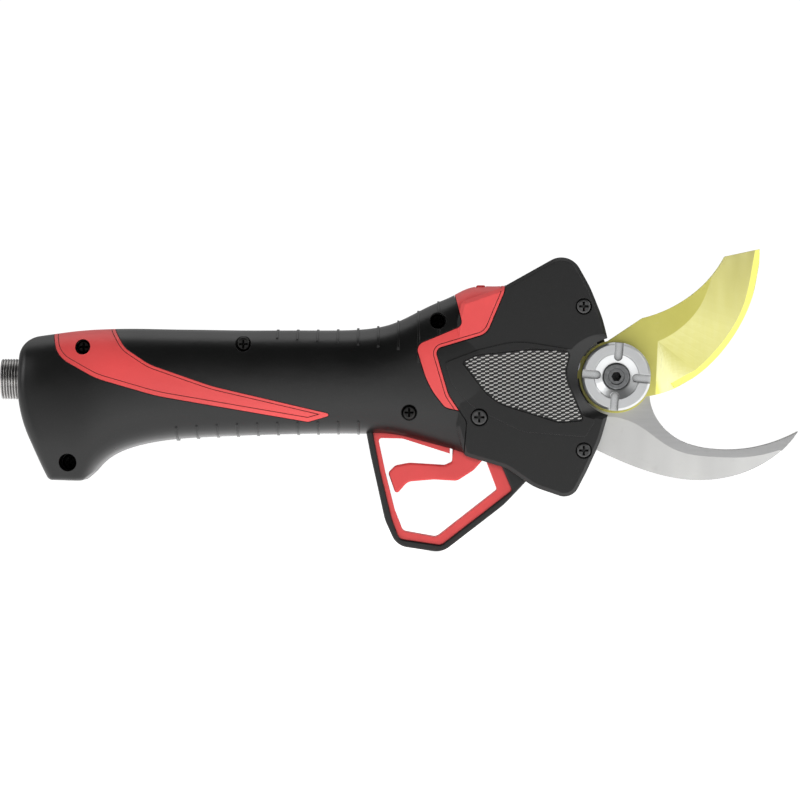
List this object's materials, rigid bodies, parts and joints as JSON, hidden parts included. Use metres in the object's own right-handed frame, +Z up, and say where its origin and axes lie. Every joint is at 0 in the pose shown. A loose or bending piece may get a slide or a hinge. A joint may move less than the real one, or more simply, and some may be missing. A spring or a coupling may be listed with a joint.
{
  "type": "battery electric pruner",
  "caption": "Hand-held electric pruner: moulded grip with trigger and guard, swinging blade over a fixed hook, driven by a motor, screw and link, with a rear socket for a battery lead.",
  "frame": {"origin": "on the blade pivot's axis, mid-way between the two housing halves", "axes": "+X towards the blade tips along the tool's length, +Z up (the trigger is below), +Y towards the tool's right-hand side"},
  "size_m": [0.2904, 0.037, 0.11],
  "materials": {
    "housing_black": "moulded fine texture, near black",
    "trim_red": "satin red moulding",
    "badge_mesh": "silver mesh over black gaps",
    "screw_black": "black coated cross-recess screws",
    "screw_grey": "grey cross-recess screws",
    "connector_metal": "plated threaded metal",
    "insulator": "black insulating insert",
    "contact_brass": "gold-coloured socket contacts",
    "motor_steel": "turned steel",
    "cast_alloy": "cast light alloy",
    "winding_copper": "copper winding",
    "bearing_steel": "ground steel",
    "bush_bronze": "bronze bush",
    "blade_yellow": "yellow coated blade with bright ground bevel",
    "hook_steel": "ground plain steel",
    "nut_steel": "bright plated steel",
    "bolt_steel": "dark steel",
    "board_green": "circuit board",
    "part_black": "moulded electronic parts",
    "lead_rubber": "insulated leads",
    "magnet_dark": "sintered magnet",
    "gear_steel": "hardened steel gears"
  },
  "bodies": {
    "body": {"left_handle_shell": "housing_black", "right_handle_shell": "housing_black", "left_head_cover": "housing_black", "right_head_cover": "housing_black", "left_collar_trim": "trim_red", "right_collar_trim": "trim_red", "left_side_flash": "trim_red", "right_side_flash": "trim_red", "left_badge_mesh": "badge_mesh", "right_badge_mesh": "badge_mesh", "trigger_guard": "housing_black", "guard_liner": "trim_red", "handle_screws": "screw_black", "left_cover_screws": "screw_grey", "right_cover_screws": "screw_grey", "connector_shell": "connector_metal", "connector_insert": "insulator", "connector_contacts": "contact_brass", "connector_locknut": "connector_metal", "motor_can": "motor_steel", "motor_caps": "cast_alloy", "stator_core": "motor_steel", "stator_coils": "winding_copper", "ring_gear_case": "motor_steel", "screw_bearing": "bearing_steel", "rod_guide_bush": "bush_bronze", "head_frame": "cast_alloy", "fixed_hook": "hook_steel", "hook_screws": "screw_grey", "pivot_bolt": "bolt_steel", "pivot_nut": "nut_steel", "thrust_washer": "nut_steel", "control_board": "board_green", "board_parts": "part_black", "inner_leads": "lead_rubber", "trigger_pin": "bearing_steel", "trigger_spring": "bearing_steel", "switch_board": "board_green", "button_switch": "part_black"},
    "blade": {"cutting_blade": "blade_yellow", "blade_bush": "bush_bronze", "crank_pin": "bearing_steel"},
    "link": {"link_plates": "bearing_steel"},
    "carriage": {"push_rod": "bearing_steel", "ball_nut": "bearing_steel", "clevis_pin": "bearing_steel"},
    "screw": {"ball_screw": "bearing_steel", "planet_carrier": "bearing_steel"},
    "rotor": {"rotor_core": "motor_steel", "rotor_magnets": "magnet_dark", "sun_gear": "gear_steel"},
    "planet_1": {"planet_gear_1": "gear_steel"},
    "planet_2": {"planet_gear_2": "gear_steel"},
    "planet_3": {"planet_gear_3": "gear_steel"},
    "trigger": {"trigger": "trim_red", "trigger_magnet": "magnet_dark"},
    "mode_button": {"mode_button": "trim_red"}
  },
  "joints": [
    {"name": "blade_swing", "type": "hinge", "parent": "body", "child": "blade", "pos_m": [0, 0, 0], "axis": [0, 1, 0], "range_deg": [0, 60]},
    {"name": "link_pivot", "type": "hinge", "parent": "blade", "child": "link", "pos_m": [-0.0169, -0.00325, 0.00453], "axis": [0, 1, 0], "range_deg": [-78.8, 0.5]},
    {"name": "carriage_slide", "type": "slide", "parent": "body", "child": "carriage", "axis": [1, 0, 0], "range_m": [-0.0001, 0.01685]},
    {"name": "screw_spin", "type": "hinge", "parent": "body", "child": "screw", "pos_m": [-0.1, 0, -0.0023], "axis": [1, 0, 0], "range_deg": [-760, 5]},
    {"name": "rotor_spin", "type": "hinge", "parent": "body", "child": "rotor", "pos_m": [-0.16, 0, -0.0023], "axis": [1, 0, 0], "range_deg": [-3800, 25]},
    {"name": "planet_1_spin", "type": "hinge", "parent": "screw", "child": "planet_1", "pos_m": [-0.122, 0, 0.0052], "axis": [1, 0, 0], "range_deg": [-5, 2030]},
    {"name": "planet_2_spin", "type": "hinge", "parent": "screw", "child": "planet_2", "pos_m": [-0.122, -0.0065, -0.00605], "axis": [1, 0, 0], "range_deg": [-5, 2030]},
    {"name": "planet_3_spin", "type": "hinge", "parent": "screw", "child": "planet_3", "pos_m": [-0.122, 0.0065, -0.00605], "axis": [1, 0, 0], "range_deg": [-5, 2030]},
    {"name": "trigger_pull", "type": "hinge", "parent": "body", "child": "trigger", "pos_m": [-0.05, 0, -0.026], "axis": [0, 1, 0], "range_deg": [0, 9], "stiffness_Nm_per_rad": 1.2, "springref_deg": -14.32},
    {"name": "button_press", "type": "slide", "parent": "body", "child": "mode_button", "axis": [0, 0, -1], "range_m": [0, 0.0008], "stiffness_N_per_m": 900, "springref_m": -0.0012}
  ],
  "couplings": [
    {"joint": "link_pivot", "follows": "blade_swing", "ratio": -1.3125},
    {"joint": "carriage_slide", "follows": "blade_swing", "m_per_rad": 0.01606},
    {"joint": "screw_spin", "follows": "blade_swing", "ratio": -12.613},
    {"joint": "rotor_spin", "follows": "blade_swing", "ratio": -63.067},
    {"joint": "planet_1_spin", "follows": "blade_swing", "ratio": 33.636},
    {"joint": "planet_2_spin", "follows": "blade_swing", "ratio": 33.636},
    {"joint": "planet_3_spin", "follows": "blade_swing", "ratio": 33.636}
  ]
}
